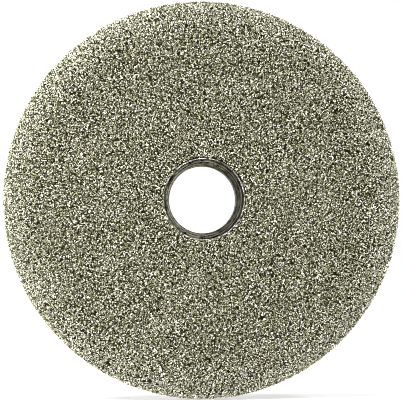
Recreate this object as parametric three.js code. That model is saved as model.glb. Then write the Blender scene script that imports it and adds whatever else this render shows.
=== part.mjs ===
// Diamond grinding wheel: a turned metal disc whose working face and rim are plated with nickel that
// holds a layer of diamond crystals, and a bush that brings its bore down to the arbor's size.
// Millimetres, +Z up. The wheel's axis is Y, its origin is the wheel's centre, and the working face
// looks towards -Y.
import * as THREE from 'three';

// ---- driving dimensions ----
const WHEEL_DIAMETER = 150;
const WHEEL_THICKNESS = 12;
const EDGE_WIDTH = 13; // the working face falls away to the rim over this much of the radius
const EDGE_DEPTH = 4; // and by this much, as a quarter of an ellipse
const BODY_BORE_DIAMETER = 30;
const ARBOR_DIAMETER = 25.4;

// The plated coat. Each thickness is measured outwards from the layer below it.
const BOND_THICKNESS = 0.4;
const GRIT_THICKNESS = 0.6;
const COAT_BACK_GAP = 1.6; // bare metal between the end of the coat and the back face

// The lip is bare metal that stands up round the bore, and the coat stops short of it.
const LIP_WIDTH = 0.35;
const LIP_HEIGHT = 0.7; // above the body's face
const COAT_CLEARANCE = 0.1; // between the lip and the bond
const GRIT_SETBACK = 0.1; // from the bond's inner edge to the first crystals
const BORE_CHAMFER = 0.1;
const BACK_CHAMFER = 1.2;

// The bush is bored in steps: a counterbore, a taper, and the land that fits the arbor.
const BUSH_CLEARANCE = 0.05; // on the radius
const BUSH_RECESS = 0.7; // its front face below the lip
const BUSH_BACK_RECESS = 0.2;
const BUSH_EDGE_CHAMFER = 0.15;
const COUNTERBORE_RADIUS = 14.1;
const COUNTERBORE_DEPTH = 2.6;
const STEP_RADIUS = 13.6; // where the taper starts
const LAND_LENGTH = 4.5;
const TAPER_END_RADIUS = 12.95;
const LAND_CHAMFER = 0.25;

const AROUND = 72; // facets round the axis, a multiple of 4
const EDGE_STEPS = 5; // facets across the rounded edge

// ---- derived places ----
const OUTER_RADIUS = WHEEL_DIAMETER / 2;
const FRONT_Y = -WHEEL_THICKNESS / 2;
const BACK_Y = WHEEL_THICKNESS / 2;
const COAT_THICKNESS = BOND_THICKNESS + GRIT_THICKNESS;
const FACE_Y = FRONT_Y + COAT_THICKNESS;
const BORE_RADIUS = BODY_BORE_DIAMETER / 2;
const LIP_TOP_Y = FACE_Y - LIP_HEIGHT;
const LIP_INNER_RADIUS = BORE_RADIUS + BORE_CHAMFER;
const LIP_OUTER_RADIUS = LIP_INNER_RADIUS + LIP_WIDTH;
const BOND_INNER_RADIUS = LIP_OUTER_RADIUS + COAT_CLEARANCE;
const GRIT_INNER_RADIUS = BOND_INNER_RADIUS + GRIT_SETBACK;
const COAT_END_Y = BACK_Y - COAT_BACK_GAP;

// A profile is a list of [radius, y]. Each one runs anticlockwise seen with the radius to the right and
// y upwards, which makes the turned faces point out.
function turned(name, profile, material) {
  const points = profile.map(([radius, y]) => new THREE.Vector2(radius, y));
  points.push(points[0].clone());
  const mesh = new THREE.Mesh(new THREE.LatheGeometry(points, AROUND), material);
  mesh.name = name;
  return mesh;
}

// The rounded edge at a depth below the tops of the crystals, from the working face to the rim.
function roundedEdge(depth) {
  const centre = [OUTER_RADIUS - EDGE_WIDTH, FRONT_Y + EDGE_DEPTH];
  const points = [];
  for (let step = 0; step <= EDGE_STEPS; step += 1) {
    const angle = (step / EDGE_STEPS) * (Math.PI / 2);
    const outwards = (EDGE_WIDTH - depth) * Math.sin(angle);
    const forwards = (EDGE_DEPTH - depth) * Math.cos(angle);
    points.push([centre[0] + outwards, centre[1] - forwards]);
  }
  return points;
}

// The whole surface of a layer at a depth, from its inner edge on the face to the coat's end on the rim.
function surface(depth, innerRadius) {
  return [[innerRadius, FRONT_Y + depth], ...roundedEdge(depth), [OUTER_RADIUS - depth, COAT_END_Y]];
}

function wheelBody() {
  const rim = OUTER_RADIUS - COAT_THICKNESS;
  const profile = [
    [LIP_INNER_RADIUS, LIP_TOP_Y],
    [LIP_OUTER_RADIUS, LIP_TOP_Y],
    [LIP_OUTER_RADIUS, FACE_Y],
    ...roundedEdge(COAT_THICKNESS),
    [rim, BACK_Y - BACK_CHAMFER],
    [rim - BACK_CHAMFER, BACK_Y],
    [BORE_RADIUS + BORE_CHAMFER, BACK_Y],
    [BORE_RADIUS, BACK_Y - BORE_CHAMFER],
    [BORE_RADIUS, LIP_TOP_Y + BORE_CHAMFER],
  ];
  const metal = new THREE.MeshStandardMaterial({ color: 0x9b9a94, roughness: 0.35, metalness: 1 });
  return turned('wheel_body', profile, metal);
}

// One layer of the coat, between two depths below the tops of the crystals.
function coat(name, outerDepth, innerDepth, innerRadius, material) {
  const outside = surface(outerDepth, innerRadius);
  const inside = surface(innerDepth, innerRadius).reverse();
  return turned(name, [...outside, ...inside], material);
}

function nickelBond() {
  const nickel = new THREE.MeshStandardMaterial({ color: 0x77766a, roughness: 0.45, metalness: 1 });
  return coat('nickel_bond', GRIT_THICKNESS, COAT_THICKNESS, BOND_INNER_RADIUS, nickel);
}

function diamondGrit() {
  const diamond = new THREE.MeshStandardMaterial({ color: 0x88876f, roughness: 0.5, metalness: 0.1 });
  return coat('diamond_grit', 0, GRIT_THICKNESS, GRIT_INNER_RADIUS, diamond);
}

function arborBush() {
  const outer = BORE_RADIUS - BUSH_CLEARANCE;
  const land = ARBOR_DIAMETER / 2;
  const front = LIP_TOP_Y + BUSH_RECESS;
  const back = BACK_Y - BUSH_BACK_RECESS;
  const landStart = back - LAND_LENGTH;
  const counterboreEnd = front + COUNTERBORE_DEPTH;
  const profile = [
    [COUNTERBORE_RADIUS + BUSH_EDGE_CHAMFER, front],
    [outer - BUSH_EDGE_CHAMFER, front],
    [outer, front + BUSH_EDGE_CHAMFER],
    [outer, back - BUSH_EDGE_CHAMFER],
    [outer - BUSH_EDGE_CHAMFER, back],
    [land + LAND_CHAMFER, back],
    [land, back - LAND_CHAMFER],
    [land, landStart + LAND_CHAMFER],
    [TAPER_END_RADIUS, landStart],
    [STEP_RADIUS, counterboreEnd],
    [COUNTERBORE_RADIUS, counterboreEnd],
    [COUNTERBORE_RADIUS, front + BUSH_EDGE_CHAMFER],
  ];
  const darkSteel = new THREE.MeshStandardMaterial({ color: 0x4a4946, roughness: 0.4, metalness: 1 });
  return turned('arbor_bush', profile, darkSteel);
}

const wheel = new THREE.Group();
wheel.name = 'diamond_grinding_wheel';
wheel.add(wheelBody(), nickelBond(), diamondGrit(), arborBush());

export default wheel;
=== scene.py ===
import math
from types import SimpleNamespace

import bmesh
import bpy
import numpy as np
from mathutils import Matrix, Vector, kdtree, noise


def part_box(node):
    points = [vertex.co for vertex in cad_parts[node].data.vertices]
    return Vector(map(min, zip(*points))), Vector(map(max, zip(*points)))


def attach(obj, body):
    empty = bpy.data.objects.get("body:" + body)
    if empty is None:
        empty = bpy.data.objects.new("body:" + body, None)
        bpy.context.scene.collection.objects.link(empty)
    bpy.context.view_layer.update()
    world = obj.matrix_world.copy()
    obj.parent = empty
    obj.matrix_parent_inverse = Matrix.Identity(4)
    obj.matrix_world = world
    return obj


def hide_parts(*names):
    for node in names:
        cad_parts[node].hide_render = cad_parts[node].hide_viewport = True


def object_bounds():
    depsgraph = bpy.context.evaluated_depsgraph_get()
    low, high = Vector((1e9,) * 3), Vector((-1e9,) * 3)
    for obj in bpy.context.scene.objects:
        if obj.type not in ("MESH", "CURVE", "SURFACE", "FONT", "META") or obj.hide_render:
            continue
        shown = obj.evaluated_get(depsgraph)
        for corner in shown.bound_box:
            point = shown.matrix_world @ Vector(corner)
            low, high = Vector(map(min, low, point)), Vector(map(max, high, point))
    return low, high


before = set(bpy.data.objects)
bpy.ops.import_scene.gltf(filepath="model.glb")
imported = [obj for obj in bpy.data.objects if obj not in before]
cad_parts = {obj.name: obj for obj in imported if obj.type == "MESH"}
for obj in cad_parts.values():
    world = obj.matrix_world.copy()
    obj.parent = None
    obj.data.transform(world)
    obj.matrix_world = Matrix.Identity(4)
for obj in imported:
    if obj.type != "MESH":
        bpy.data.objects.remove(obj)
cad_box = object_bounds()

# The diamond grinding wheel's looks, in metres. Its axis is Y and its working face looks towards -Y.
MM = 0.001
rng = np.random.default_rng(7)


# ---- sizes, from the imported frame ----
def turned_size(node):
    """The inner and outer radius of a turned CAD node, and the Y of its front and back."""
    low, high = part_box(node)
    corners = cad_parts[node].data.vertices
    inner = min(math.hypot(v.co.x, v.co.z) for v in corners)
    return SimpleNamespace(inner=inner, outer=high.x, front=low.y, back=high.y)


body = turned_size("wheel_body")
bond = turned_size("nickel_bond")
grit = turned_size("diamond_grit")
bush = turned_size("arbor_bush")

GRIT_THICKNESS = grit.outer - bond.outer
BOND_THICKNESS = bond.outer - body.outer
FACE_Y = bond.front + BOND_THICKNESS
EDGE_WIDTH = 13 * MM  # the working face falls away to the rim over this much of the radius
EDGE_DEPTH = 4 * MM  # and by this much, as a quarter of an ellipse

LIP_CHAMFER = 0.1 * MM
LIP_WIDTH = 0.35 * MM
LIP_FALL = 0.12 * MM  # of the outer half of the lip, which is worn down
BACK_CHAMFER = 1.2 * MM
FILLET = 0.04 * MM  # on the turned edges

GRAIN_PITCH = 0.52 * MM
GRAIN_SIZE = 0.72 * MM
GRAIN_SPREAD = 0.12  # of the logarithm of a grain's size
GRAIN_LIMITS = (0.65, 1.45)  # of a grain's size, as a share of GRAIN_SIZE
GRAIN_RAISED = (0.10 * MM, 0.09 * MM)  # its centre above the bond, and the spread of that
GRAIN_SETBACK = 0.35 * MM  # of the last crystals' centres from the coat's end on the rim
JITTER = 0.4  # of a crystal's place, as a share of the gap to the next one
CLUMP = 0.8 * MM  # the crystals lie thicker and thinner over this distance
BARE_BELOW = (-0.42, 0.08)  # no crystal where that cloud is below this, and the spread of it

# A crystal's tone is drawn in standard deviations, pale ones above 0.
NEIGHBOURS = 28  # well mixed grit has pale and dark crystals evenly among this many
EVENNESS = 0.85  # of the mix, from 0, where each crystal's tone is drawn alone, to 1
MOTTLE = 9 * MM  # the crystals turn paler and darker over this distance
MOTTLE_DEPTH = 0.15
RIM_PAINTED_LIGHT = 1.0  # painted light: how much paler the crystals on the rounded edge are made

# The mask round the bore sat a little off centre when the coat was plated, so the crystals crowd
# over the lip on one side of the bore and leave it bare on the other.
COAT_EDGE = 15.62 * MM  # the radius where the crystals' centres begin
COAT_EDGE_SPREAD = 0.08 * MM
COAT_SHIFT = (0.20 * MM, 0.30 * MM)  # of that circle's centre, in X and Z


# ---- profiles: points (radius, y), anticlockwise with the radius to the right and y upwards ----
def spaced(points, step):
    """The same line with points no more than a step apart along it, and its corners kept."""
    points = np.asarray(points, float)
    made = [points[:1]]
    for start, end in zip(points[:-1], points[1:]):
        count = max(1, math.ceil(np.linalg.norm(end - start) / step))
        share = np.arange(1, count + 1)[:, None] / count
        made.append(start + (end - start) * share)
    return np.concatenate(made)


def coat_line(depth, inner, end):
    """The coat's surface at a depth below the crystals' tops, from its inner edge to its end on
    the rim."""
    centre = np.array([grit.outer - EDGE_WIDTH, grit.front + EDGE_DEPTH])
    angle = np.linspace(0, math.pi / 2, 49)
    reach = np.array([EDGE_WIDTH - depth, EDGE_DEPTH - depth])
    edge = centre + np.stack([np.sin(angle), -np.cos(angle)], axis=1) * reach
    return np.concatenate([[[inner, grit.front + depth]], edge, [[grit.outer - depth, end]]])


def filleted(points, radius, steps=3, most=0.4):
    """A closed outline with its corners rounded. No cut takes more than the share most of an edge."""
    points = np.asarray(points, float)
    made = []
    for before, here, after in zip(np.roll(points, 1, 0), points, np.roll(points, -1, 0)):
        back, on = before - here, after - here
        cut = min(radius, most * np.linalg.norm(back), most * np.linalg.norm(on))
        start = here + back / np.linalg.norm(back) * cut
        end = here + on / np.linalg.norm(on) * cut
        for t in np.linspace(0, 1, steps + 1):
            made.append((1 - t) ** 2 * start + 2 * t * (1 - t) * here + t * t * end)
    return np.array(made)


# ---- meshes ----
def mesh_object(name, vertices, faces, smooth_below=None):
    """A new object. Edges flatter than smooth_below, in degrees, are shaded smooth."""
    mesh = bpy.data.meshes.new(name)
    mesh.from_pydata(vertices, [], faces)
    mesh.update()
    if smooth_below is not None:
        mesh.shade_smooth()
        mesh.set_sharp_from_angle(angle=math.radians(smooth_below))
    piece = bpy.data.objects.new(name, mesh)
    bpy.context.scene.collection.objects.link(piece)
    return piece


def turned_piece(name, outline, around, lift, smooth_below=35):
    """A closed outline turned about Y. lift is how far each point of each facet moves out."""
    outline = np.asarray(outline, float)
    count = len(outline)
    turn = np.arange(around) / around * 2 * math.pi
    along = np.roll(outline, -1, 0) - np.roll(outline, 1, 0)
    along /= np.linalg.norm(along, axis=1, keepdims=True)
    radius = outline[:, :1] + along[:, 1:] * lift
    y = outline[:, 1:] - along[:, :1] * lift
    vertices = np.stack([radius * np.sin(turn), y, radius * np.cos(turn)], axis=2).reshape(-1, 3)
    i, j = np.meshgrid(np.arange(count), np.arange(around), indexing="ij")
    i_next, j_next = (i + 1) % count, (j + 1) % around
    corners = [i * around + j, i * around + j_next, i_next * around + j_next, i_next * around + j]
    faces = np.stack(corners, axis=2).reshape(-1, 4)
    return mesh_object(name, vertices.tolist(), faces.tolist(), smooth_below)


def turned_noise(outline, around, size, size_along):
    """Smooth noise, from about -0.6 to 0.6, at each point of a turned piece. Its lumps have one size
    round the axis and another along the outline."""
    outline = np.asarray(outline, float)
    made = []
    for radius, y in outline:
        along = (radius - y) / size_along
        for angle in np.arange(around) / around * 2 * math.pi:
            x, z = radius * math.sin(angle) / size, radius * math.cos(angle) / size
            made.append(noise.noise((x, along, z)))
    return np.reshape(made, (len(outline), around))


def face_on_map(mesh):
    """A UV map seen from the working face."""
    corners = np.empty(len(mesh.loops), int)
    mesh.loops.foreach_get("vertex_index", corners)
    places = np.empty(len(mesh.vertices) * 3)
    mesh.vertices.foreach_get("co", places)
    across = 2.02 * grit.outer  # the wheel and a thin margin
    flat = places.reshape(-1, 3)[corners][:, [0, 2]] / across + 0.5
    mesh.uv_layers.new(name="OFBake").data.foreach_set("uv", flat.ravel())


# ---- materials ----
class Material:
    """A Principled material and short calls that add nodes to it."""

    def __init__(self, name, **sockets):
        self.made = bpy.data.materials.new(name)
        self.made.use_nodes = True
        self.tree = self.made.node_tree
        self.shader = self.tree.nodes["Principled BSDF"]
        for socket, value in sockets.items():
            self.shader.inputs[socket.replace("_", " ")].default_value = value
        self.place = self.add("ShaderNodeTexCoord").outputs["Object"]

    def add(self, kind, inputs=None, **settings):
        node = self.tree.nodes.new(kind)
        for key, value in settings.items():
            setattr(node, key, value)
        for key, value in (inputs or {}).items():
            self.feed(node.inputs[key], value)
        return node

    def feed(self, socket, value):
        if isinstance(value, bpy.types.NodeSocket):
            self.tree.links.new(value, socket)
        else:
            socket.default_value = value

    def math(self, operation, a, b=0.0):
        return self.add("ShaderNodeMath", {0: a, 1: b}, operation=operation).outputs[0]

    def weigh(self, a, share_a, b, share_b):
        """The sum of two values, each times its share."""
        return self.math("ADD", self.math("MULTIPLY", a, share_a), self.math("MULTIPLY", b, share_b))

    def noise(self, scale, detail=2.0, roughness=0.5, vector=None):
        inputs = {"Scale": scale, "Detail": detail, "Roughness": roughness}
        inputs["Vector"] = vector or self.place
        return self.add("ShaderNodeTexNoise", inputs).outputs["Fac"]

    def spread(self, value, low, high, to_low=0.0, to_high=1.0):
        inputs = {"Value": value, "From Min": low, "From Max": high}
        inputs.update({"To Min": to_low, "To Max": to_high})
        return self.add("ShaderNodeMapRange", inputs, clamp=True).outputs["Result"]

    def mix(self, share, a, b):
        inputs = {"Factor": share, 6: a, 7: b}
        return self.add("ShaderNodeMix", inputs, data_type="RGBA").outputs[2]

    def shade(self, **sockets):
        for socket, value in sockets.items():
            self.feed(self.shader.inputs[socket.replace("_", " ")], value)

    def bump(self, height, depth):
        inputs = {"Height": height, "Distance": depth, "Strength": 1.0}
        self.shade(Normal=self.add("ShaderNodeBump", inputs).outputs["Normal"])


def colour(red, green, blue):
    return (red, green, blue, 1.0)


# Painted shade: the near-black that turned metal darkens towards, in patches, at the working face.
FRONT_SHADE = colour(0.03, 0.028, 0.02)
FRONT_SHADE_FROM, FRONT_SHADE_TO = -4 * MM, -5 * MM  # the Y over which it comes on
# The near-black that turned metal darkens towards on its side towards +X.
PLUS_X_DARK = colour(0.006, 0.005, 0.003)
PLUS_X_DARK_FROM, PLUS_X_DARK_TO = 5 * MM, 13 * MM  # the distance towards +X over which it comes on
PLUS_X_DARK_LEAN = 0.25  # that direction leans towards -Z by this much
PLUS_X_DARK_STRAY = 8 * MM  # how far its edge wanders


def turned_metal(name, pale, dark, roughness, depth, metallic, stain=6 * MM, stained=0.3,
                 front_shade_depth=0.0, plus_x_darkening=0.0, blend=0.07):
    """Lathe-turned metal: broken rings of tool marks round Y, on flat faces and bores alike, with
    stains of about the given size and share. front_shade_depth is how far the colour is darkened,
    in patches, at the working face, as painted shade, and plus_x_darkening how far it is darkened on
    the side towards +X. The pale and dark parts blend into each other over twice the given width of
    the noise."""
    m = Material(name, Metallic=metallic, Anisotropic=0.4, Specular_IOR_Level=0.25)
    x, y, z = m.add("ShaderNodeSeparateXYZ", {0: m.place}).outputs
    radius = m.math("SQRT", m.math("ADD", m.math("MULTIPLY", x, x), m.math("MULTIPLY", z, z)))
    along = m.math("SUBTRACT", radius, y)

    def rings(pitch, length, detail):
        """Tool marks this far apart and about this long, both in mm."""
        apart, onward = 1 / (pitch * MM), 1 / (length * MM)
        parts = {0: m.math("MULTIPLY", x, onward), 1: m.math("MULTIPLY", along, apart),
                 2: m.math("MULTIPLY", z, onward)}
        return m.noise(1.0, detail, 0.55, m.add("ShaderNodeCombineXYZ", parts).outputs[0])

    marks = m.weigh(rings(0.14, 3.0, 2.0), 0.4, rings(0.6, 9.0, 1.0), 0.6)
    stains = m.noise(1 / stain, 4.0, 0.65)
    specks = m.noise(1900.0, 2.0, 0.6)
    shade = m.weigh(marks, 0.85 - stained, stains, stained)
    shade = m.math("ADD", shade, m.math("MULTIPLY", specks, 0.15))
    undarkened = m.mix(m.spread(shade, 0.5 - blend, 0.5 + blend), dark, pale)
    # Painted shade: at the working face the colour darkens in patches towards a near-black.
    patches = m.spread(m.noise(700.0, 3.0), 0.42, 0.58, 0.3 * front_shade_depth, front_shade_depth)
    front_shade_share = m.math("MULTIPLY", patches, m.spread(y, FRONT_SHADE_FROM, FRONT_SHADE_TO))
    front_shaded = m.mix(front_shade_share, undarkened, FRONT_SHADE)
    # Darker towards +X, leaning towards -Z, over a wandering edge.
    sideways = m.math("SUBTRACT", x, m.math("MULTIPLY", z, PLUS_X_DARK_LEAN))
    dark_line = m.math("ADD", sideways, m.math("MULTIPLY", m.noise(300.0, 3.0), PLUS_X_DARK_STRAY))
    plus_x_share = m.spread(dark_line, PLUS_X_DARK_FROM, PLUS_X_DARK_TO, 0.0, plus_x_darkening)
    m.shade(Base_Color=m.mix(plus_x_share, front_shaded, PLUS_X_DARK))
    worn = m.weigh(stains, 0.6, specks, 0.4)
    m.shade(Roughness=m.spread(worn, 0.35, 0.65, roughness - 0.08, roughness + 0.12))
    m.shade(Tangent=m.add("ShaderNodeTangent", direction_type="RADIAL", axis="Y").outputs["Tangent"])
    m.bump(m.math("ADD", marks, m.math("MULTIPLY", specks, 0.3)), depth)
    return m.made


def nickel_with_painted_shade():
    """The bond between the crystals: dull plated nickel, pimpled, its colour painted nearly black as
    the shade that falls between the crystals.
    """
    m = Material("nickel_with_painted_shade", Metallic=0.85)
    pimples = m.noise(2600.0, 3.0, 0.6)
    patches = m.noise(700.0, 2.0)
    share = m.spread(m.math("MULTIPLY", pimples, patches), 0.15, 0.4)
    # Painted shade: the bond is coloured nearly black for the shade between the crystals.
    m.shade(Base_Color=m.mix(share, colour(0.005, 0.005, 0.001), colour(0.040, 0.038, 0.014)))
    m.shade(Roughness=m.spread(patches, 0.3, 0.7, 0.35, 0.6))
    m.bump(pimples, 0.06 * MM)
    return m.made


def diamond(name, tone, shadow):
    """One colour of crystal. It clouds a little from crystal to crystal, and more inside each."""
    m = Material(name, Roughness=0.24, IOR=1.85, Specular_Tint=colour(1.0, 0.99, 0.87))
    clouding = m.weigh(m.noise(950.0, 1.0), 0.35, m.noise(4200.0, 1.0), 0.65)
    m.shade(Base_Color=m.mix(m.spread(clouding, 0.36, 0.64), shadow, tone))
    return m.made


# ---- the wheel body ----
BODY_AROUND = 360
NICK_DEPTH = 0.08 * MM  # times noise, of the marks that the crystals left in the lip
NICK_SIZES = (0.7 * MM, 0.5 * MM)  # round the axis, and along the outline


def wheel_body():
    lip_top = body.front
    lip_inner = body.inner + LIP_CHAMFER
    coat = GRIT_THICKNESS + BOND_THICKNESS
    rim = coat_line(coat, lip_inner + LIP_WIDTH, body.back - BACK_CHAMFER)
    front = [
        [lip_inner, lip_top],
        [lip_inner + 0.5 * LIP_WIDTH, lip_top],
        [lip_inner + LIP_WIDTH, lip_top + LIP_FALL],
    ]
    back = [
        [body.outer - BACK_CHAMFER, body.back],
        [body.inner + LIP_CHAMFER, body.back],
        [body.inner, body.back - LIP_CHAMFER],
        [body.inner, lip_top + LIP_CHAMFER],
    ]
    outline = filleted([*front, *rim.tolist(), *back], FILLET)
    nicks = -NICK_DEPTH * turned_noise(outline, BODY_AROUND, *NICK_SIZES).clip(0)
    nicks[outline[:, 1] > FACE_Y - 0.1 * MM] = 0  # all but the lip
    piece = turned_piece("wheel_body_turned", outline, BODY_AROUND, nicks)
    # The lip's front is darkened in patches as painted shade.
    piece.data.materials.append(turned_metal(
        "turned_aluminium", pale=colour(0.56, 0.535, 0.515), dark=colour(0.27, 0.255, 0.24),
        roughness=0.42, depth=0.014 * MM, metallic=1.0, front_shade_depth=0.88))
    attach(piece, "wheel")
    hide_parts("wheel_body")


# ---- the nickel bond ----
BOND_AROUND = 450
BOND_LUMPS = (0.10 * MM, 0.9 * MM)  # their height, times noise, and their size
BOND_FALL = 0.12 * MM  # of its outside at both ends


def nickel_bond():
    height, size = BOND_LUMPS
    outside = spaced(coat_line(GRIT_THICKNESS, bond.inner, bond.back), 0.6 * MM)
    inside = spaced(coat_line(GRIT_THICKNESS + BOND_THICKNESS, bond.inner, bond.back), 2 * MM)[::-1]
    outline = np.concatenate([outside, inside])
    lift = height * turned_noise(outline, BOND_AROUND, size, size)
    lift[len(outside):] = 0
    ends = [0, len(outside) - 1]
    lift[ends] -= BOND_FALL
    piece = turned_piece("nickel_bond_plating", outline, BOND_AROUND, lift, 60)
    piece.data.materials.append(nickel_with_painted_shade())
    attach(piece, "wheel")
    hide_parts("nickel_bond")


# ---- the diamond crystals ----
def hull(points):
    """The vertices and triangles of the convex hull of some points."""
    solid = bmesh.new()
    for point in points:
        solid.verts.new(point)
    done = bmesh.ops.convex_hull(solid, input=solid.verts)
    inside = [v for v in done["geom_interior"] if isinstance(v, bmesh.types.BMVert)]
    bmesh.ops.delete(solid, geom=inside, context="VERTS")
    bmesh.ops.triangulate(solid, faces=solid.faces)
    bmesh.ops.recalc_face_normals(solid, faces=solid.faces)
    solid.verts.index_update()
    vertices = np.array([v.co for v in solid.verts])
    triangles = np.array([[v.index for v in f.verts] for f in solid.faces])
    solid.free()
    return vertices, triangles


def crystal_shapes():
    """Uneven octahedra, as diamond grows, and the broken pieces that are mixed in with them."""
    corners = np.concatenate([np.eye(3), -np.eye(3)])
    shapes = []
    for _ in range(14):
        shapes.append(hull(corners * rng.uniform(0.8, 1.2, (6, 1)) + rng.normal(0, 0.06, (6, 3))))
    for count in [7] * 14 + [8] * 12:
        points = rng.normal(size=(count, 3))
        points /= np.linalg.norm(points, axis=1, keepdims=True)
        shapes.append(hull(points * rng.uniform(0.85, 1.2, (count, 1))))
    return shapes


def random_turns(count):
    """Random rotation matrices, evenly over all directions."""
    q = rng.normal(size=(count, 4))
    q /= np.linalg.norm(q, axis=1, keepdims=True)
    w, x, y, z = q.T
    rows = [
        [1 - 2 * (y * y + z * z), 2 * (x * y - z * w), 2 * (x * z + y * w)],
        [2 * (x * y + z * w), 1 - 2 * (x * x + z * z), 2 * (y * z - x * w)],
        [2 * (x * z - y * w), 2 * (y * z + x * w), 1 - 2 * (x * x + y * y)],
    ]
    return np.array(rows).transpose(2, 0, 1)


def crystal_places():
    """A loose scatter over the coat: each crystal's point on the bond, and the normal out of it."""
    step = 0.1 * MM
    end = grit.back - GRAIN_SETBACK
    line = spaced(coat_line(GRIT_THICKNESS, body.inner + LIP_CHAMFER, end), step)
    run = np.concatenate([[0], np.cumsum(np.linalg.norm(np.diff(line, axis=0), axis=1))])
    row_gap = GRAIN_PITCH * math.sqrt(3) / 2
    along, turn = [], []
    for row in np.arange(0, run[-1], row_gap):
        radius = np.interp(row, run, line[:, 0])
        count = round(2 * math.pi * radius / GRAIN_PITCH)
        apart = 2 * math.pi / count
        along.append(row + rng.uniform(-JITTER, JITTER, count) * row_gap)
        turn.append((np.arange(count) + rng.uniform() + rng.uniform(-JITTER, JITTER, count)) * apart)
    along = np.clip(np.concatenate(along), 0, run[-1])
    turn = np.concatenate(turn)
    radius, y = np.interp(along, run, line[:, 0]), np.interp(along, run, line[:, 1])
    ahead, behind = along + step / 2, along - step / 2
    outwards = np.interp(ahead, run, line[:, 0]) - np.interp(behind, run, line[:, 0])
    backwards = np.interp(ahead, run, line[:, 1]) - np.interp(behind, run, line[:, 1])
    length = np.hypot(outwards, backwards)
    normal_r, normal_y = backwards / length, -outwards / length
    points = np.stack([radius * np.sin(turn), y, radius * np.cos(turn)], axis=1)
    normals = np.stack([normal_r * np.sin(turn), normal_y, normal_r * np.cos(turn)], axis=1)
    kept = clouds(points, CLUMP) > rng.normal(*BARE_BELOW, len(points))
    from_edge = np.hypot(points[:, 0] - COAT_SHIFT[0], points[:, 2] - COAT_SHIFT[1]) - COAT_EDGE
    kept &= from_edge > rng.normal(0, COAT_EDGE_SPREAD, len(points))
    return points[kept], normals[kept]


def clouds(points, size):
    """Smooth noise, from about -0.6 to 0.6, at each point."""
    return np.array([noise.noise(Vector(point) / size) for point in points])


def neighbours_mean(points, values):
    """The mean of the values at the points nearest each one."""
    tree = kdtree.KDTree(len(points))
    for index, point in enumerate(points):
        tree.insert(point, index)
    tree.balance()
    means = []
    for point in points:
        near = [index for _, index, _ in tree.find_n(point, NEIGHBOURS)]
        means.append(values[near].mean())
    return np.array(means)


def ranked(values, shares):
    """The number of the group that each value falls in, when they hold these shares of the values."""
    order = np.argsort(np.argsort(values)) / len(values)
    return np.searchsorted(np.cumsum(shares)[:-1], order)


TONES = {
    # name: share of the crystals, colour, and the darker colour it clouds to
    "smoky": (0.17, colour(0.044, 0.042, 0.011), colour(0.012, 0.012, 0.002)),
    "olive": (0.18, colour(0.135, 0.132, 0.055), colour(0.055, 0.053, 0.015)),
    "khaki": (0.19, colour(0.245, 0.241, 0.150), colour(0.12, 0.117, 0.052)),
    "sand": (0.18, colour(0.35, 0.345, 0.252), colour(0.19, 0.186, 0.107)),
    "straw": (0.15, colour(0.455, 0.45, 0.375), colour(0.275, 0.271, 0.185)),
    "cream": (0.13, colour(0.605, 0.60, 0.535), colour(0.39, 0.385, 0.31)),
}


def diamond_crystals():
    shapes = crystal_shapes()
    points, normals = crystal_places()
    count = len(points)
    turns = random_turns(count)
    size = GRAIN_SIZE / 2 * np.exp(rng.normal(0, GRAIN_SPREAD, count)).clip(*GRAIN_LIMITS)
    stretch = rng.uniform(0.82, 1.2, (count, 3)) * size[:, None]
    raised = rng.normal(*GRAIN_RAISED, count)
    which = rng.integers(len(shapes), size=count)
    paleness = rng.normal(0, 1, count)
    paleness -= EVENNESS * neighbours_mean(points, paleness)
    paleness += MOTTLE_DEPTH * clouds(points, MOTTLE)
    # Painted light: the crystals on the rounded edge are made paler.
    on_edge = (np.hypot(points[:, 0], points[:, 2]) - (grit.outer - EDGE_WIDTH)) / EDGE_WIDTH
    paleness -= RIM_PAINTED_LIGHT * on_edge.clip(0, 1) * normals[:, 1]  # whose Y is -1 on the working face
    tone_of = ranked(paleness, [share for share, _, _ in TONES.values()])
    room = GRIT_THICKNESS - 0.01 * MM  # no crystal stands out of the CAD solid
    bore_edge = body.inner + 0.04 * MM  # nor into the bore
    for index, (tone, (_, pale, dark)) in enumerate(TONES.items()):
        vertices, triangles, start = [], [], 0
        for shape, (shape_vertices, shape_triangles) in enumerate(shapes):
            chosen = np.flatnonzero((tone_of == index) & (which == shape))
            scaled = shape_vertices[None] * stretch[chosen][:, None]
            placed = np.einsum("nij,nkj->nki", turns[chosen], scaled)
            height = np.einsum("nki,ni->nk", placed, normals[chosen]).max(axis=1)
            lift = np.minimum(raised[chosen], room - height)
            placed += (points[chosen] + normals[chosen] * lift[:, None])[:, None]
            inside = bore_edge - np.hypot(placed[..., 0], placed[..., 2]).min(axis=1)
            outwards = points[chosen] * [1, 0, 1]
            outwards /= np.linalg.norm(outwards, axis=1, keepdims=True)
            placed += (outwards * inside.clip(0)[:, None])[:, None]
            vertices.append(placed.reshape(-1, 3))
            offsets = start + np.arange(len(chosen))[:, None, None] * len(shape_vertices)
            triangles.append((shape_triangles[None] + offsets).reshape(-1, 3))
            start += len(chosen) * len(shape_vertices)
        vertices, triangles = np.concatenate(vertices), np.concatenate(triangles)
        piece = mesh_object(f"diamond_crystals_{tone}", vertices.tolist(), triangles.tolist())
        face_on_map(piece.data)
        piece.data.materials.append(diamond(f"diamond_{tone}", pale, dark))
        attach(piece, "wheel")
        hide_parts("diamond_grit")


# ---- the arbor bush ----
BUSH_AROUND = 288
BUSH_EDGE = 0.15 * MM
COUNTERBORE_RADIUS = 14.1 * MM
COUNTERBORE_DEPTH = 2.6 * MM
STEP_RADIUS = 13.6 * MM  # where the taper starts
TAPER_END_RADIUS = 12.95 * MM
LAND_LENGTH = 4.5 * MM  # of the part that fits the arbor
GROOVES = 5  # that the tool left in the taper
GROOVE_PITCH = 0.65 * MM
GROOVE_DEPTH = 0.07 * MM
GROOVE_WIDTH = 0.24 * MM
PIT_DEPTH = 0.09 * MM  # times noise
PIT_SIZES = (1.4 * MM, 0.4 * MM)  # round the axis, and along the outline


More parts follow.
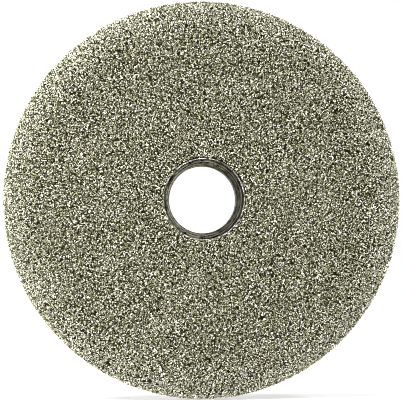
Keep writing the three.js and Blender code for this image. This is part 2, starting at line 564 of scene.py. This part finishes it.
def arbor_bush():
    edge, counterbore = BUSH_EDGE, COUNTERBORE_RADIUS
    counterbore_end = bush.front + COUNTERBORE_DEPTH
    land_start = bush.back - LAND_LENGTH
    taper = [[TAPER_END_RADIUS, land_start]]
    for n in range(GROOVES):
        y = land_start - 0.3 * MM - n * GROOVE_PITCH
        share = (land_start - y) / (land_start - counterbore_end)
        radius = TAPER_END_RADIUS + (STEP_RADIUS - TAPER_END_RADIUS) * share
        taper.append([radius, y])
        taper.append([radius + GROOVE_DEPTH, y - GROOVE_WIDTH / 2])
        taper.append([radius + 0.02 * MM, y - GROOVE_WIDTH])
    outline = [
        [counterbore + 0.6 * edge, bush.front],
        [counterbore + 2.5 * edge, bush.front + 0.3 * edge],
        [bush.outer - 0.5 * edge, bush.front + 2 * edge],
        [bush.outer, bush.front + 3 * edge],
        [bush.outer, bush.back - edge],
        [bush.outer - edge, bush.back],
        [bush.inner + edge, bush.back],
        [bush.inner, bush.back - edge],
        [bush.inner, land_start + edge],
        *taper,
        [STEP_RADIUS, counterbore_end],
        [counterbore, counterbore_end],
        [counterbore, bush.front + 0.6 * edge],
    ]
    outline = spaced(filleted(outline, FILLET), 0.3 * MM)
    pits = -PIT_DEPTH * (turned_noise(outline, BUSH_AROUND, *PIT_SIZES) + 0.05).clip(0)
    pits[outline[:, 0] > bush.outer - 0.2 * MM] = 0  # none on the fit
    piece = turned_piece("arbor_bush_turned", outline, BUSH_AROUND, pits, 50)
    # The steel's own dark colour, darkened further as painted shade inside the bore, and darker
    # towards +X.
    piece.data.materials.append(turned_metal(
        "dark_steel_and_bore_shade", pale=colour(0.211, 0.208, 0.134), dark=colour(0.003, 0.0027, 0.001),
        roughness=0.5, depth=0.07 * MM, metallic=0.4, stain=2.2 * MM, stained=0.5, plus_x_darkening=0.75,
        blend=0.045))
    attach(piece, "bush")
    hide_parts("arbor_bush")


# ---- floor, backdrop, light and camera ----
def camera_only(piece):
    """Shows a stage piece to the camera alone, so that it neither lights the wheel nor shades it."""
    piece.visible_diffuse = False
    piece.visible_glossy = False
    piece.visible_transmission = False
    piece.visible_shadow = False


FLOOR_REACH = 0.9  # each way from the wheel
FLOOR_GAP = 0.1 * MM  # below the wheel


def studio_floor():
    """A pale floor that is lit near the wheel and glows: faintly there, and as white as the backdrop
    further away.
    """
    reach, z = FLOOR_REACH, cad_box[0].z - FLOOR_GAP
    corners = [(-reach, -reach, z), (reach, -reach, z), (reach, reach, z), (-reach, reach, z)]
    floor = mesh_object("studio_floor", corners, [(0, 1, 2, 3)])
    m = Material("pale_floor", Roughness=0.8, Specular_IOR_Level=0.2, Emission_Color=colour(1, 1, 1))
    share = m.noise(3.0, 3.0)
    m.shade(Base_Color=m.mix(share, colour(0.46, 0.46, 0.46), colour(0.52, 0.52, 0.52)))
    away = m.add("ShaderNodeVectorMath", {0: m.place}, operation="LENGTH").outputs["Value"]
    m.shade(Emission_Strength=m.spread(away, 0.1, 0.6, 0.35, 1.0))
    floor.data.materials.append(m.made)
    camera_only(floor)


def studio_backdrop():
    dome = bmesh.new()
    bmesh.ops.create_icosphere(dome, subdivisions=4, radius=8.0)
    mesh = bpy.data.meshes.new("studio_backdrop")
    dome.to_mesh(mesh)
    dome.free()
    backdrop = bpy.data.objects.new("studio_backdrop", mesh)
    bpy.context.scene.collection.objects.link(backdrop)
    m = Material("white_backdrop", Base_Color=colour(0, 0, 0), Specular_IOR_Level=0.0,
                 Emission_Color=colour(1, 1, 1), Emission_Strength=1.0)
    mesh.materials.append(m.made)
    camera_only(backdrop)


def soft_light(name, place, size, power):
    """A square area light that faces the wheel's centre. Places are in metres and power in watts."""
    lamp = bpy.data.lights.new(name, "AREA")
    lamp.shape = "SQUARE"
    lamp.size = size
    lamp.energy = power
    holder = bpy.data.objects.new(name, lamp)
    holder.location = place
    holder.visible_camera = False
    holder.rotation_euler = (-Vector(place)).to_track_quat("-Z", "Y").to_euler()
    bpy.context.scene.collection.objects.link(holder)


# A ring of low lamps rakes the crystals and the rim: each one's azimuth in degrees from +X towards
# +Z, and its power.
RAKES = ((0, 3.2), (45, 1.7), (90, 4.6), (135, 3.4), (180, 5.4), (212, 1.9), (300, 4.0))
RAKE_RADIUS = 0.49
RAKE_Y = -0.104
RAKE_SIZE = 0.15


def studio_light():
    """Two soft lamps in front, the ring that rakes the wheel, and three soft lamps behind."""
    soft_light("key_left", (-0.23, -0.18, -0.01), 0.2, 0.58)
    soft_light("side_right", (0.30, -0.27, -0.30), 0.28, 0.4)
    for azimuth, power in RAKES:
        turn = math.radians(azimuth)
        place = (RAKE_RADIUS * math.cos(turn), RAKE_Y, RAKE_RADIUS * math.sin(turn))
        soft_light(f"rake_{azimuth}", place, RAKE_SIZE, power)
    soft_light("rear_fill", (0.0, 1.0, 0.05), 0.6, 3.0)
    soft_light("rear_right", (0.7, 0.5, 0.3), 0.5, 4.5)
    soft_light("rear_low", (0.5, 0.5, -0.4), 0.4, 1.5)


def studio_world():
    """A dim white world that is brighter behind the wheel than in front, and darker below."""
    world = bpy.data.worlds.new("studio_world")
    bpy.context.scene.world = world
    world.use_nodes = True
    tree = world.node_tree

    def add(kind, **inputs):
        node = tree.nodes.new(kind)
        for key, value in inputs.items():
            socket = node.inputs[key.replace("_", " ")]
            if isinstance(value, bpy.types.NodeSocket):
                tree.links.new(value, socket)
            else:
                socket.default_value = value
        return node

    direction = add("ShaderNodeTexCoord").outputs["Generated"]
    parts = add("ShaderNodeSeparateXYZ", Vector=direction)
    ramp = {"From_Min": -0.3, "From_Max": 0.4, "To_Min": 0.012, "To_Max": 0.15}
    behind = add("ShaderNodeMapRange", Value=parts.outputs["Y"], **ramp)
    ramp = {"From_Min": -0.6, "From_Max": 0.2, "To_Min": 0.6, "To_Max": 1.0}
    above = add("ShaderNodeMapRange", Value=parts.outputs["Z"], **ramp)
    both = tree.nodes.new("ShaderNodeMath")
    both.operation = "MULTIPLY"
    tree.links.new(behind.outputs["Result"], both.inputs[0])
    tree.links.new(above.outputs["Result"], both.inputs[1])
    background = tree.nodes["Background"]
    background.inputs["Color"].default_value = colour(1, 1, 1)
    tree.links.new(both.outputs[0], background.inputs["Strength"])


CAMERA_DISTANCE = 600 * MM
CAMERA_LEFT = math.radians(4.6)
CAMERA_BELOW = math.radians(1.8)
AIM = Vector((-0.54 * MM, 0, -0.51 * MM))
VIEW_WIDTH = 152.1 * MM  # across the frame, at the wheel's centre


def photo_camera():
    lens = bpy.data.cameras.new("photo_camera")
    lens.lens = lens.sensor_width * CAMERA_DISTANCE / VIEW_WIDTH
    lens.clip_start, lens.clip_end = 0.01, 50.0
    camera = bpy.data.objects.new("photo_camera", lens)
    away = Vector((
        -math.sin(CAMERA_LEFT) * math.cos(CAMERA_BELOW),
        -math.cos(CAMERA_LEFT) * math.cos(CAMERA_BELOW),
        -math.sin(CAMERA_BELOW),
    ))
    camera.location = away * CAMERA_DISTANCE
    camera.rotation_euler = (AIM - camera.location).to_track_quat("-Z", "Y").to_euler()
    bpy.context.scene.collection.objects.link(camera)
    bpy.context.scene.camera = camera


bpy.context.scene.view_settings.view_transform = "Standard"
bpy.context.scene.cycles.denoising_prefilter = "NONE"  # any other smears the grit
bpy.context.scene.cycles.filter_width = 0.9  # in pixels; a wider one softens it
photo_camera()
studio_floor()
studio_backdrop()
studio_light()
studio_world()
wheel_body()
nickel_bond()
diamond_crystals()
arbor_bush()
